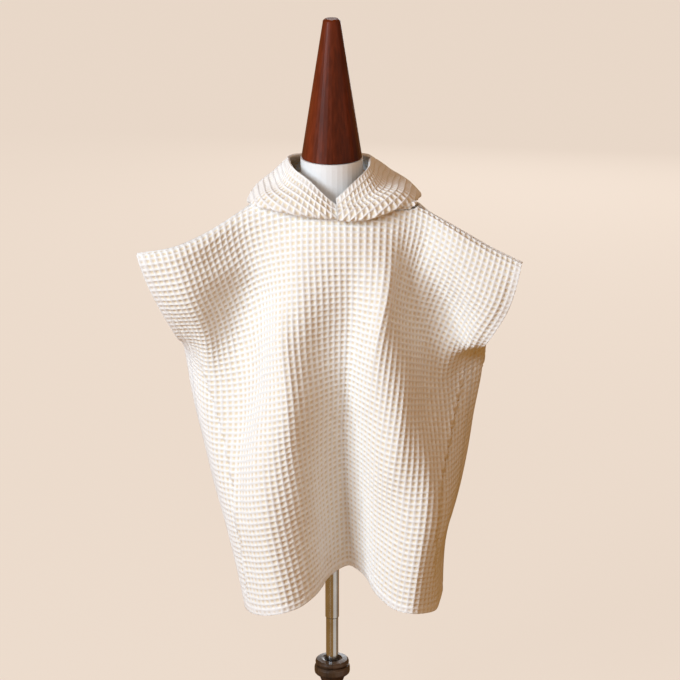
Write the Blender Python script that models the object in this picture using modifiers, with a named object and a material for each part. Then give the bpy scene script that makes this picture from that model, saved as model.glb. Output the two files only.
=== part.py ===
# Hooded waffle-weave bath poncho, resting on a child's dress form that stands on a turned base.
# Metres, +Z up, the front toward -Y, the origin under the middle of the base.
#
# The poncho is two oblong panels, joined along the shoulders and down the sides below the arm
# openings, with a hood of two halves that lies pushed back round the neck. Every panel starts
# as a plan of its folds at a few levels, hangs from the shoulder line by its own length, and is
# then settled until the cloth is neither stretched nor squeezed.

import math

import bpy
import numpy as np
from mathutils.bvhtree import BVHTree

MM = 0.001

# Cloth
CLOTH_WALL = 2.0 * MM
SEAM_GAP = 0.3 * MM
PANEL_WIDTH = 600 * MM
PANEL_LENGTH = 575 * MM
ARM_OPENING = 198 * MM
CELLS_ACROSS = 22
CELLS_DOWN = 22
SETTLE_ROUNDS = 26
SETTLE_PASSES = 10             # the panels are moved apart after each pass
SOFTEN_ROUNDS = 2              # after each pass, the moves away from the drawn plans are evened
SOFTEN_SHARE = 0.6
FORM_CLEARANCE = 4 * MM
PANEL_CLEARANCE = 5 * MM       # between the middles of two walls
NECK_CUT_FROM = -112 * MM      # ends of the neck slit, measured across the flat panel
NECK_CUT_TO = 118 * MM
FRONT_NECK_DROP = 34 * MM
BACK_NECK_DROP = 10 * MM
RIDGE_ROUND = 9 * MM           # how far each panel rounds away from the shoulder line,
ROUND_FADE = 80 * MM           # and over what length that fades out again
NECK_EASE = 50 * MM
ROW_CROWDING = 1.3             # rows stand closer together near the shoulder

# Hood
NECK_LEVEL = 835 * MM
HOOD_COLUMNS = 18
HOOD_STEPS = 21
HOOD_LEFT_FROM = -5.0          # degrees from the centre front, where the halves meet
HOOD_RIGHT_FROM = 5.7
HOOD_TO = 180.0
HOOD_SEAM_GAP = 0.8 * MM       # room for the neck edge, whose cloth leans differently all round
HOOD_BACK_GAP = 0.9 * MM       # between the middles of the walls, which lean a little there
HOOD_STAND = 6 * MM            # how far the hood stands up from the neck seam before it rolls out

# Stand
NECK_RADIUS = 43.3 * MM
CONE_FOOT_LEVEL = 889 * MM
CONE_HEIGHT = 195 * MM
CONE_FOOT_RADIUS = 42 * MM
CONE_TOP_RADIUS = 12 * MM
FORM_BOTTOM_LEVEL = 470 * MM
TUBE_JOINT_LEVEL = 197 * MM
UPPER_TUBE_RADIUS = 10 * MM
LOWER_TUBE_RADIUS = 9 * MM
HUB_TOP_LEVEL = 131.5 * MM
HUB_GROOVE_LEVEL = 122 * MM
HUB_BOTTOM_LEVEL = 108 * MM
BASE_RADIUS = 140 * MM
BASE_THICKNESS = 22 * MM
TOUCH_GAP = 0.3 * MM
ROUND_STEPS = 36

# Where each fold line runs on the flat panel, from the left cuff edge to the right one (mm).
FOLD_LINES = (-300, -245, -190, -135, -80, -25, 30, 80, 135, 190, 245, 300)

# The height of the shoulder line at each fold line (mm). The neck slit is cut below it.
SHOULDER_HEIGHTS = (769, 777, 793, 819, 842, 852, 852, 846, 824, 804, 782, 765)

# Plans of the folds, a row for each level below the shoulder (mm), with x, y at each fold line:
# left seam, left drape, left dip, left flank, left fold, left wall,
# groove, right wall, right fold, right crest, right dip, right seam.
FRONT_SECTIONS = {
    0: ((-268, -70), (-218, -72), (-171, -53), (-122, -28), (-74, -34), (-23, -48),
        (30, -50), (84, -42), (131, -48), (174, -70), (218, -86), (260, -98)),
    38: ((-256, -67), (-208, -71), (-164, -56), (-118, -45), (-70, -47), (-22, -58),
         (30, -61), (83, -54), (127, -58), (170, -78), (212, -90), (252, -98)),
    71: ((-244, -62), (-200, -67), (-158, -60), (-113, -53), (-68, -60), (-22, -72),
         (30, -77), (81, -68), (122, -64), (165, -76), (207, -90), (242, -97)),
    142: ((-219, -36), (-180, -42), (-141, -46), (-101, -58), (-64, -76), (-20, -84),
          (28, -86), (76, -96), (110, -72), (148, -58), (186, -62), (213, -74)),
    213: ((-200, 12), (-172, -32), (-134, -56), (-97, -82), (-65, -106), (-21, -88),
          (25, -82), (66, -116), (105, -98), (138, -70), (174, -44), (200, 2)),
    284: ((-192, 10), (-167, -40), (-127, -68), (-96, -104), (-61, -132), (-19, -100),
          (20, -80), (59, -120), (98, -128), (127, -98), (165, -62), (193, -14)),
    355: ((-178, 8), (-164, -46), (-127, -88), (-95, -128), (-57, -130), (-18, -92),
          (16, -66), (51, -111), (91, -147), (129, -130), (160, -86), (184, -38)),
    426: ((-162, 4), (-153, -51), (-127, -102), (-92, -145), (-46, -130), (-15, -82),
          (18, -48), (48, -94), (84, -136), (127, -158), (158, -112), (174, -60)),
    497: ((-142, 2), (-142, -53), (-120, -102), (-84, -145), (-38, -120), (-10, -70),
          (22, -38), (49, -84), (80, -130), (121, -160), (148, -112), (158, -60)),
    575: ((-122, 0), (-133, -53), (-118, -104), (-76, -144), (-32, -116), (-8, -66),
          (25, -34), (52, -76), (77, -124), (116, -154), (149, -110), (156, -57)),
}
BACK_SECTIONS = {
    0: ((-268, -70), (-218, -72), (-171, -53), (-122, -28), (-74, 10), (-24, 44),
        (30, 44), (84, 4), (131, -48), (174, -70), (218, -86), (260, -98)),
    38: ((-258, -54), (-210, -48), (-165, -22), (-117, 6), (-69, 38), (-23, 66),
         (31, 66), (83, 36), (128, -10), (170, -40), (213, -64), (252, -82)),
    71: ((-248, -42), (-205, -28), (-161, 2), (-112, 32), (-64, 62), (-22, 80),
         (31, 80), (81, 60), (124, 16), (166, -18), (208, -46), (244, -68)),
    142: ((-220, -24), (-188, 22), (-146, 54), (-104, 82), (-60, 102), (-18, 92),
          (32, 102), (80, 92), (124, 62), (164, 26), (196, -14), (216, -62)),
    213: ((-200, 12), (-196, 50), (-156, 82), (-110, 106), (-62, 118), (-16, 100),
          (34, 110), (82, 122), (126, 106), (170, 78), (202, 38), (200, 2)),
    284: ((-192, 10), (-197, 56), (-164, 100), (-114, 124), (-62, 116), (-18, 84),
          (36, 98), (84, 130), (136, 122), (180, 90), (202, 40), (193, -14)),
    355: ((-178, 8), (-184, 56), (-150, 98), (-98, 120), (-46, 98), (3, 70),
          (50, 98), (98, 124), (146, 107), (184, 68), (197, 15), (184, -38)),
    426: ((-162, 4), (-168, 50), (-136, 94), (-86, 116), (-37, 90), (8, 58),
          (54, 86), (98, 115), (144, 91), (176, 47), (187, -6), (174, -60)),
    497: ((-142, 2), (-150, 52), (-120, 96), (-72, 118), (-28, 86), (10, 48),
          (50, 84), (92, 116), (136, 90), (162, 45), (170, -8), (158, -60)),
    575: ((-122, 0), (-134, 50), (-108, 94), (-63, 112), (-24, 78), (10, 38),
          (46, 76), (84, 112), (124, 94), (148, 48), (158, -4), (156, -57)),
}

# Hood sections: degrees round the neck from the centre front, then (distance from the neck's
# axis, height above the neck level) at the underside, the roll, the outer face, the top and the
# face edge (mm). Each section starts at the neck seam.
HOOD_LEFT_SECTIONS = {
    0: ((72, -11), (80, -10), (79, -3), (73, 2), (66, 7)),
    30: ((84, -8), (92, -4), (87, 6), (76, 18), (61, 34)),
    60: ((99, -2), (108, -2), (99, 9), (76, 22), (60, 46)),
    90: ((98, -2), (115, -10), (104, 4), (77, 20), (59, 51)),
    120: ((100, -12), (118, -22), (117, -3), (90, 22), (66, 46)),
    150: ((98, -30), (114, -60), (136, -32), (114, 14), (80, 39)),
    180: ((96, -44), (116, -88), (148, -50), (126, 8), (88, 33)),
}
HOOD_RIGHT_SECTIONS = {
    0: ((73, -12), (82, -11), (81, -4), (74, 1), (66, 6)),
    30: ((90, -11), (99, -8), (93, 3), (76, 9), (61, 33)),
    60: ((107, 0), (116, 3), (103, 14), (76, 21), (57, 46)),
    90: ((110, 0), (122, -2), (107, 10), (77, 22), (52, 51)),
    120: ((107, -10), (123, -18), (120, 1), (90, 24), (62, 46)),
    150: ((98, -30), (114, -60), (136, -32), (114, 14), (80, 39)),
    180: ((96, -44), (116, -88), (148, -50), (126, 8), (88, 33)),
}

# Dress form: height, half width, half depth and how far the middle lies forward (mm).
FORM_SECTIONS = (
    (470, 30, 26, 0), (476, 58, 42, 0), (500, 74, 50, 2), (560, 82, 54, 5), (620, 84, 56, 5),
    (690, 88, 56, 3), (740, 90, 50, 0), (775, 84, 42, 0), (798, 68, 40, 0), (814, 52, 41, 0),
    (828, 45, 43, 0), (850, 43.3, 43.3, 0), (888.7, 43.3, 43.3, 0),
)

COLOURS = {
    "cloth": (0.86, 0.82, 0.77), "wood": (0.115, 0.035, 0.018), "dark wood": (0.05, 0.025, 0.018),
    "chrome": (0.62, 0.60, 0.58), "form": (0.88, 0.85, 0.81),
}


def clear_scene():
    for old in list(bpy.data.objects):
        bpy.data.objects.remove(old, do_unlink=True)


def make_material(name, colour, roughness, metallic=0.0):
    material = bpy.data.materials.new(name)
    material.use_nodes = True
    shader = material.node_tree.nodes["Principled BSDF"]
    shader.inputs["Base Color"].default_value = (*colour, 1.0)
    shader.inputs["Roughness"].default_value = roughness
    shader.inputs["Metallic"].default_value = metallic
    material.diffuse_color = (*colour, 1.0)
    return material


def smooth_between(knots, values, at):
    """Catmull-Rom interpolation of rows of values, with knots at any spacing."""
    knots, values, at = np.asarray(knots, float), np.asarray(values, float), np.asarray(at, float)
    step = np.diff(knots)
    slope = np.diff(values, axis=0) / step.reshape((-1,) + (1,) * (values.ndim - 1))
    tangent = np.concatenate([slope[:1], (slope[1:] + slope[:-1]) / 2, slope[-1:]])
    left = np.clip(np.searchsorted(knots, at, side="right") - 1, 0, len(knots) - 2)
    shape = (-1,) + (1,) * (values.ndim - 1)
    u = ((at - knots[left]) / step[left]).reshape(shape)
    width = step[left].reshape(shape)
    return (
        (2 * u**3 - 3 * u**2 + 1) * values[left] + (u**3 - 2 * u**2 + u) * width * tangent[left]
        + (3 * u**2 - 2 * u**3) * values[left + 1] + (u**3 - u**2) * width * tangent[left + 1]
    )


def neck_cut(across, drop):
    """How far below the shoulder line the neck slit has cut the panel at each place across it."""
    middle, half = (NECK_CUT_FROM + NECK_CUT_TO) / 2, (NECK_CUT_TO - NECK_CUT_FROM) / 2
    return drop * np.clip(1 - ((across - middle) / half) ** 2, 0, 1) ** 0.6


def hang(sections, drop, outward):
    """The panel's points, row by row: its plan comes from the sections and its height from the
    length of cloth between the levels. It starts at the neck slit or the shoulder line, and
    outward is the way it rounds off that line, -1 for the front and +1 for the back."""
    across = np.linspace(-PANEL_WIDTH / 2, PANEL_WIDTH / 2, CELLS_ACROSS + 1)
    shoulder = smooth_between(FOLD_LINES, SHOULDER_HEIGHTS, across / MM) * MM
    plans = np.array(list(sections.values())) * MM
    plans = np.swapaxes(smooth_between(FOLD_LINES, np.swapaxes(plans, 0, 1), across / MM), 0, 1)
    cut = neck_cut(across, drop)
    levels = np.array(list(sections)) * MM
    points = np.zeros((CELLS_DOWN + 1, len(across), 3))
    down = np.zeros((CELLS_DOWN + 1, len(across)))
    share = np.linspace(0, 1, CELLS_DOWN + 1) ** ROW_CROWDING
    fine = np.linspace(0, PANEL_LENGTH, 200)
    rounding = outward * RIDGE_ROUND * (1 - np.exp(-fine / RIDGE_ROUND))
    rounding *= np.exp(-fine / ROUND_FADE)
    for column in range(len(across)):
        plan = smooth_between(levels, plans[:, column], fine)
        plan[:, 1] += rounding
        height = shoulder[column] - fallen(plan, fine)
        down[:, column] = cut[column] + (PANEL_LENGTH - cut[column]) * share
        for axis, track in enumerate((plan[:, 0], plan[:, 1], height)):
            points[:, column, axis] = np.interp(down[:, column], fine, track)
    return points, across, down


def fallen(plan, down):
    """How far cloth has come down at each length of it, when its plan moves sideways meanwhile."""
    moved = np.linalg.norm(np.diff(plan, axis=0), axis=1)
    length = np.diff(down)
    fall = np.sqrt(np.maximum(length**2 - moved**2, (0.3 * length) ** 2))
    return np.concatenate([[0], np.cumsum(fall)])


def keep_off_form(points, clearance):
    """Push points out of the dress form, whose sections are ellipses."""
    height, wide, deep, forward = (np.array(c) * MM for c in zip(*FORM_SECTIONS))
    z = points[..., 2]
    a = np.interp(z, height, wide) + clearance
    b = np.interp(z, height, deep) + clearance
    middle = -np.interp(z, height, forward)
    x, y = points[..., 0], points[..., 1] - middle
    reach = np.sqrt((x / a) ** 2 + (y / b) ** 2)
    inside = (reach < 1) & (z > height[0] - 5 * MM)
    grow = np.where(inside, 1 / np.maximum(reach, 0.2), 1)
    points[..., 0], points[..., 1] = x * grow, y * grow + middle


def settle(points, across, down, held, drawn):
    """Move the free points until neighbours lie as far apart as they do in the flat cloth, or,
    close to the neck, where the cloth is eased into the seam, as they do in the drawn shape."""
    flat = np.stack([np.broadcast_to(across, down.shape), down], axis=-1)
    first, last = slice(None, -1), slice(1, None)
    every = slice(None)
    links = [
        ((every, first), (every, last), 1.0), ((first, every), (last, every), 1.0),
        ((first, first), (last, last), 0.25), ((first, last), (last, first), 0.25),
    ]
    free = (~held)[..., None]
    eased = np.exp(-down / NECK_EASE)[..., None]
    rests = []
    for a, b, _ in links:
        rest = np.linalg.norm(flat[b] - flat[a], axis=-1, keepdims=True)
        as_drawn = np.linalg.norm(drawn[b] - drawn[a], axis=-1, keepdims=True)
        rests.append(rest + (as_drawn - rest) * eased[a])
    for _ in range(SETTLE_ROUNDS):
        push = np.zeros_like(points)
        weight = np.zeros(points.shape[:2] + (1,))
        for (a, b, stiffness), rest in zip(links, rests):
            reach = points[b] - points[a]
            length = np.linalg.norm(reach, axis=-1, keepdims=True)
            move = 0.5 * stiffness * (length - rest) / length * reach
            push[a] += move
            push[b] -= move
            weight[a] += stiffness
            weight[b] += stiffness
        points += np.where(free, 1.6 * push / weight, 0)
        keep_off_form(points, FORM_CLEARANCE)


def soften(points, held, drawn):
    """Even out the free points' moves away from the drawn shape, so that the folds stay smooth."""
    for _ in range(SOFTEN_ROUNDS):
        moved = points - drawn
        wide = np.pad(moved, ((1, 1), (1, 1), (0, 0)), mode="edge")
        around = (wide[:-2, 1:-1] + wide[2:, 1:-1] + wide[1:-1, :-2] + wide[1:-1, 2:]) / 4
        points += np.where(held[..., None], 0, SOFTEN_SHARE * (around - moved))


def surface_of(points):
    rows, columns = points.shape[:2]
    corner = np.arange(rows * columns).reshape(rows, columns)
    quads = np.stack([corner[:-1, :-1], corner[:-1, 1:], corner[1:, 1:], corner[1:, :-1]], axis=-1)
    return BVHTree.FromPolygons(points.reshape(-1, 3).tolist(), quads.reshape(-1, 4).tolist())


def keep_clear(points, other, way, clearance, free, pull=1.0):
    """Move points to the side of the other sheet that way tells, at least a clearance from it.
    A sheet's own normal points toward +Y where it hangs flat."""
    surface = surface_of(other)
    for place in zip(*np.nonzero(free)):
        near, normal, _, reach = surface.find_nearest(points[place])
        if reach > 6 * clearance:
            continue
        apart = way * (points[place] - np.array(near)) @ np.array(normal)
        if apart < clearance:
            points[place] += pull * way * (clearance - apart) * np.array(normal)


def lay_seams(points, down):
    """Put the panel's sides on the side seams, which both panels share below the arm openings."""
    fine = np.linspace(0, PANEL_LENGTH, 200)
    levels = np.array(list(FRONT_SECTIONS)) * MM
    for side in (0, -1):
        plan = smooth_between(levels, [row[side] for row in FRONT_SECTIONS.values()], fine) * MM
        track = np.column_stack([plan, SHOULDER_HEIGHTS[side] * MM - fallen(plan, fine)])
        below = down[:, side] > ARM_OPENING
        for axis in range(3):
            points[below, side, axis] = np.interp(down[below, side], fine, track[:, axis])


def pull_back_seams(points, other, down):
    """Shorten a panel at its seams, so that its edge stays a gap off the other panel's edge."""
    pulled = points.copy()
    sewn = down[:, 0] > ARM_OPENING
    for side, inward in ((0, 1), (-1, -2)):
        shift = seam_shift(points[:, side], points[:, inward], other[:, inward])
        pulled[sewn, side] += shift[sewn]
    sewn = down[0] < 1e-6
    pulled[0, sewn] += seam_shift(points[0], points[1], other[1])[sewn]
    return pulled


def seam_shift(seam, mine, theirs):
    """The move along this sheet that takes its wall clear of the other sheet's wall."""
    along = np.gradient(seam, axis=0)
    along /= np.linalg.norm(along, axis=1, keepdims=True)
    ways = []
    for sheet in (mine, theirs):
        way = sheet - seam
        way -= (way * along).sum(axis=1, keepdims=True) * along
        ways.append(way / np.linalg.norm(way, axis=1, keepdims=True))
    angle = np.arccos(np.clip((ways[0] * ways[1]).sum(axis=1), -1, 1))
    reach = CLOTH_WALL / 2 / np.tan(np.maximum(angle / 2, math.radians(14)))
    wide = np.pad(reach, 1, mode="edge")
    reach = np.maximum(np.maximum(wide[:-2], wide[2:]), reach)
    return ways[0] * (reach + SEAM_GAP)[:, None]


def cloth_object(name, points, material, collection, flip):
    """An open sheet of quads from a grid of points, made into a wall by Solidify."""
    rows, columns = points.shape[:2]
    faces = []
    for i in range(rows - 1):
        for j in range(columns - 1):
            a = i * columns + j
            quad = (a, a + 1, a + columns + 1, a + columns)
            faces.append(quad[::-1] if flip else quad)
    mesh = bpy.data.meshes.new(name)
    mesh.from_pydata(points.reshape(-1, 3).tolist(), [], faces)
    mesh.materials.append(material)
    mesh.shade_smooth()
    sheet = bpy.data.objects.new(name, mesh)
    collection.objects.link(sheet)
    wall = sheet.modifiers.new("cloth wall", "SOLIDIFY")
    wall.thickness = CLOTH_WALL
    wall.offset = 0.0
    wall.use_even_offset = False
    return sheet


def make_panels():
    """The points of both panels: (points, lengths down the cloth) of the front and of the back."""
    front, across, down = hang(FRONT_SECTIONS, FRONT_NECK_DROP, -1)
    back, _, back_down = hang(BACK_SECTIONS, BACK_NECK_DROP, 1)
    sewn = down[0] < 1e-6
    front[0, sewn] = back[0, sewn] = (front[0, sewn] + back[0, sewn]) / 2
    panels = [(front, down), (back, back_down)]
    held, drawn = [], []
    for points, levels in panels:
        drawn.append(points.copy())
        lay_seams(points, levels)
        fixed = np.zeros(points.shape[:2], bool)
        fixed[0] = fixed[:, 0] = fixed[:, -1] = True
        held.append(fixed)
    for _ in range(SETTLE_PASSES):
        for (points, levels), fixed, as_drawn in zip(panels, held, drawn):
            settle(points, across, levels, fixed, as_drawn)
        keep_clear(front, back, -1, PANEL_CLEARANCE, ~held[0], 0.6)
        keep_clear(back, front, 1, PANEL_CLEARANCE, ~held[1], 0.6)
        for (points, _), fixed, as_drawn in zip(panels, held, drawn):
            soften(points, fixed, as_drawn)
    return (
        (pull_back_seams(front, back, down), down),
        (pull_back_seams(back, front, back_down), back_down),
    )


def neck_seam(front, back, side, share):
    """Along one side of the neck opening, from the centre front to the centre back: the points
    of the panels' edge, and the way in which the panels' cloth comes up to it."""
    halves = []
    for points, down in (front, back):
        cut = (down[0] > 0) & (points[0, :, 0] * side > 4 * MM)
        rise = points[0, cut] - points[1, cut]
        half = np.hstack([points[0, cut], rise / np.linalg.norm(rise, axis=1, keepdims=True)])
        halves.append(half[np.argsort(half[:, 0] * side)])
    track = np.concatenate([halves[0], halves[1][::-1]])
    step = np.linalg.norm(np.diff(track[:, :3], axis=0), axis=1)
    along = np.concatenate([[0], np.cumsum(step)])
    track = np.column_stack([np.interp(share * along[-1], along, axis) for axis in track.T])
    return track[:, :3], track[:, 3:]


def make_hood_half(sections, side, begin, panels):
    """The points of a half hood: side is -1 for the half at -X and +1 for the half at +X, and
    begin is its first section's angle from the centre front."""
    angles = np.linspace(begin, HOOD_TO, HOOD_COLUMNS)
    table = smooth_between(list(sections), np.array(list(sections.values())) * MM, angles)
    edge, rise = neck_seam(*panels, side, np.linspace(0, 1, HOOD_COLUMNS))
    points = np.zeros((HOOD_STEPS + 1, HOOD_COLUMNS, 3))
    for column, angle in enumerate(np.radians(angles)):
        reach, height = table[column].T
        out = np.array([side * math.sin(angle), -math.cos(angle), 0])
        rolled = reach[:, None] * out + np.outer(NECK_LEVEL + height, (0, 0, 1))
        start = edge[column] + HOOD_SEAM_GAP * rise[column]
        stand = edge[column] + HOOD_STAND * (rise[column] + (0, 0, 1)) / 2
        knots = np.vstack([start, stand, stand + HOOD_STAND * (out + (0, 0, 0.3)), rolled])
        along = np.cumsum(np.linalg.norm(np.diff(knots, axis=0, prepend=knots[:1]), axis=1))
        places = np.concatenate([
            [0, along[1] / 2, along[1], along[1:3].mean()],
            np.linspace(along[2], along[-1], HOOD_STEPS - 3),
        ])
        points[:, column] = smooth_between(along, knots, places)
    points[:, -1, 0] = side * HOOD_BACK_GAP / 2
    return points


def turned(name, profile, material, collection):
    """A solid of revolution. The profile runs down its outer side, from the axis to the axis."""
    mesh = bpy.data.meshes.new(name)
    points = [(radius, 0.0, height) for radius, height in profile]
    mesh.from_pydata(points, [(i, i + 1) for i in range(len(points) - 1)], [])
    mesh.materials.append(material)
    solid = bpy.data.objects.new(name, mesh)
    collection.objects.link(solid)
    spin = solid.modifiers.new("turn", "SCREW")
    spin.axis = "Z"
    spin.angle = math.tau
    spin.steps = spin.render_steps = ROUND_STEPS
    spin.use_merge_vertices = True
    spin.merge_threshold = 0.00001
    spin.use_smooth_shade = True
    return solid


def rounded(radius, height, size, upper):
    """Three points of a rounded edge, where a turned solid's side meets its top or its foot."""
    steps = [math.radians(a) for a in (0, 30, 60, 90)]
    if upper:
        return [
            (radius - size + size * math.sin(a), height - size + size * math.cos(a)) for a in steps
        ]
    return [
        (radius - size + size * math.cos(a), height + size - size * math.sin(a)) for a in steps
    ]


def make_stand(materials, collection):
    top = CONE_FOOT_LEVEL + CONE_HEIGHT
    cone = [(0, top)]
    cone += [(CONE_TOP_RADIUS - 3 * MM, top), (CONE_TOP_RADIUS, top - 2.5 * MM)]
    cone += rounded(CONE_FOOT_RADIUS, CONE_FOOT_LEVEL, 1.5 * MM, False)
    cone += [(0, CONE_FOOT_LEVEL)]
    turned("neck_cone", cone, materials["wood"], collection)

    joint = TUBE_JOINT_LEVEL
    top = FORM_BOTTOM_LEVEL - TOUCH_GAP
    turned(
        "upper_tube",
        [(0, top), (UPPER_TUBE_RADIUS, top), (UPPER_TUBE_RADIUS, joint + 1 * MM),
         (UPPER_TUBE_RADIUS - 1 * MM, joint), (0, joint)],
        materials["chrome"], collection,
    )
    top = joint - TOUCH_GAP
    foot = HUB_GROOVE_LEVEL + 3 * MM
    turned(
        "lower_tube",
        [(0, top), (LOWER_TUBE_RADIUS, top), (LOWER_TUBE_RADIUS, foot), (0, foot)],
        materials["chrome"], collection,
    )
    floor_of_hole = foot - TOUCH_GAP
    hole = LOWER_TUBE_RADIUS + TOUCH_GAP
    collar = [(0, floor_of_hole), (hole, floor_of_hole), (hole, HUB_TOP_LEVEL - 4 * MM)]
    collar += [(hole + 2.5 * MM, HUB_TOP_LEVEL - 1 * MM), (hole + 5.5 * MM, HUB_TOP_LEVEL)]
    collar += rounded(24.5 * MM, HUB_TOP_LEVEL, 4.5 * MM, True)[1:]
    collar += rounded(24.5 * MM, HUB_GROOVE_LEVEL + TOUCH_GAP, 3.5 * MM, False)
    collar += [(0, HUB_GROOVE_LEVEL + TOUCH_GAP)]
    turned("hub_collar", collar, materials["dark wood"], collection)

    ring = [(0, HUB_GROOVE_LEVEL)] + rounded(26 * MM, HUB_GROOVE_LEVEL, 4 * MM, True)
    ring += rounded(26 * MM, HUB_BOTTOM_LEVEL, 4 * MM, False) + [(0, HUB_BOTTOM_LEVEL)]
    turned("hub_ring", ring, materials["dark wood"], collection)

    top = HUB_BOTTOM_LEVEL - TOUCH_GAP
    foot = BASE_THICKNESS + TOUCH_GAP
    waist = [(20, 0.0), (15, 0.16), (17.5, 0.42), (23, 0.66), (27, 0.84), (34, 0.95), (36, 1.0)]
    column = [(0, top)] + [(r * MM, top + (foot - top) * part) for r, part in waist]
    turned("base_column", column + [(0, foot)], materials["dark wood"], collection)

    disc = [(0, BASE_THICKNESS)] + rounded(BASE_RADIUS, BASE_THICKNESS, 8 * MM, True)
    disc += rounded(BASE_RADIUS, 0.0, 2 * MM, False) + [(0, 0.0)]
    turned("base_disc", disc, materials["dark wood"], collection)


def make_form(material, collection):
    """The hard form under the cloth: rings of ellipses from its foot to the cut of the neck."""
    levels = np.array([row[0] for row in FORM_SECTIONS])
    rows = np.array([row[1:] for row in FORM_SECTIONS])
    turn = np.linspace(0, math.tau, ROUND_STEPS, endpoint=False)
    points, faces = [], []
    for level, (wide, deep, forward) in zip(levels, rows):
        for angle in turn:
            x, y = wide * math.cos(angle), deep * math.sin(angle) - forward
            points.append((x * MM, y * MM, level * MM))
    for ring in range(len(levels) - 1):
        for k in range(ROUND_STEPS):
            a, b = ring * ROUND_STEPS + k, ring * ROUND_STEPS + (k + 1) % ROUND_STEPS
            faces.append((a, b, b + ROUND_STEPS, a + ROUND_STEPS))
    faces.append(tuple(range(ROUND_STEPS))[::-1])
    faces.append(tuple(range(len(points) - ROUND_STEPS, len(points))))
    mesh = bpy.data.meshes.new("dress_form")
    mesh.from_pydata(points, [], faces)
    mesh.materials.append(material)
    mesh.shade_smooth()
    mesh.set_sharp_from_angle(angle=math.radians(50))
    collection.objects.link(bpy.data.objects.new("dress_form", mesh))


def main():
    clear_scene()
    collection = bpy.data.collections.new("hooded_bath_poncho")
    bpy.context.scene.collection.children.link(collection)
    materials = {
        "cloth": make_material("waffle cotton", COLOURS["cloth"], 0.95),
        "wood": make_material("varnished red wood", COLOURS["wood"], 0.22),
        "dark wood": make_material("dark turned wood", COLOURS["dark wood"], 0.35),
        "chrome": make_material("chromed tube", COLOURS["chrome"], 0.2, 1.0),
        "form": make_material("off-white form", COLOURS["form"], 0.55),
    }
    cloth = materials["cloth"]
    panels = make_panels()
    left = make_hood_half(HOOD_LEFT_SECTIONS, -1, HOOD_LEFT_FROM, panels)
    right = make_hood_half(HOOD_RIGHT_SECTIONS, 1, HOOD_RIGHT_FROM, panels)
    cloth_object("front_panel", panels[0][0], cloth, collection, True)
    cloth_object("back_panel", panels[1][0], cloth, collection, False)
    cloth_object("hood_left", left, cloth, collection, False)
    cloth_object("hood_right", right, cloth, collection, True)
    make_form(materials["form"], collection)
    make_stand(materials, collection)


main()
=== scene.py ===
# Looks of the hooded waffle bath poncho on its dress form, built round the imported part.
# The cloth hangs from the same tables as the part's own panels, then gets its weave as real relief.

import math

import bpy
import numpy as np
from mathutils.bvhtree import BVHTree
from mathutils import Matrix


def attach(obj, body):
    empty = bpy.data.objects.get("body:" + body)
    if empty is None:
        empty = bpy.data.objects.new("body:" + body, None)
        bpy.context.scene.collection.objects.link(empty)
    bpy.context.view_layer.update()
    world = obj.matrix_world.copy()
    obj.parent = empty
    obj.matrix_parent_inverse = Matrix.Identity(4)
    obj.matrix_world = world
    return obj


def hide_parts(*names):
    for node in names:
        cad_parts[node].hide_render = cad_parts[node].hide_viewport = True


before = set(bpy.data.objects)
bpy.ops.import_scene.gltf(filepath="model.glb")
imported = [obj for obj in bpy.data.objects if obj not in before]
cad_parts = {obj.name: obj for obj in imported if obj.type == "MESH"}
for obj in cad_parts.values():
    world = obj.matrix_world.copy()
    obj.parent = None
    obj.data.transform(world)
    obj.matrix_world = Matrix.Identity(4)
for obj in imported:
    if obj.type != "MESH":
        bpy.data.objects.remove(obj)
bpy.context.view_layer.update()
mm = 0.001
print("frame loaded")

# the cut and the way it hangs, in mm
panel = {
    "width": 600, "length": 575, "armOpening": 198, "wall": 2.0, "seamGap": 0.3,
    "neckFrom": -112, "neckTo": 118, "frontNeckDrop": 34, "backNeckDrop": 10, "neckCurve": 0.6,
    "columns": 22, "rows": 22, "rowCrowding": 1.3, "traceSteps": 200,
    "ridgeRound": 9, "roundFade": 80, "leastFall": 0.3,
    "rounds": 26, "passes": 10, "haste": 1.6, "diagonals": 0.25, "neckEase": 50,
    "softenRounds": 2, "softenShare": 0.6,
    "clearance": 5, "clearShare": 0.6, "formClearance": 4, "sharpestSeam": 14,
}

# where each fold line runs on the flat panel, and how high the shoulder stands there
foldLines = (-300, -245, -190, -135, -80, -25, 30, 80, 135, 190, 245, 300)
shoulderHeights = (769, 777, 793, 819, 842, 852, 852, 846, 824, 804, 782, 765)

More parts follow.
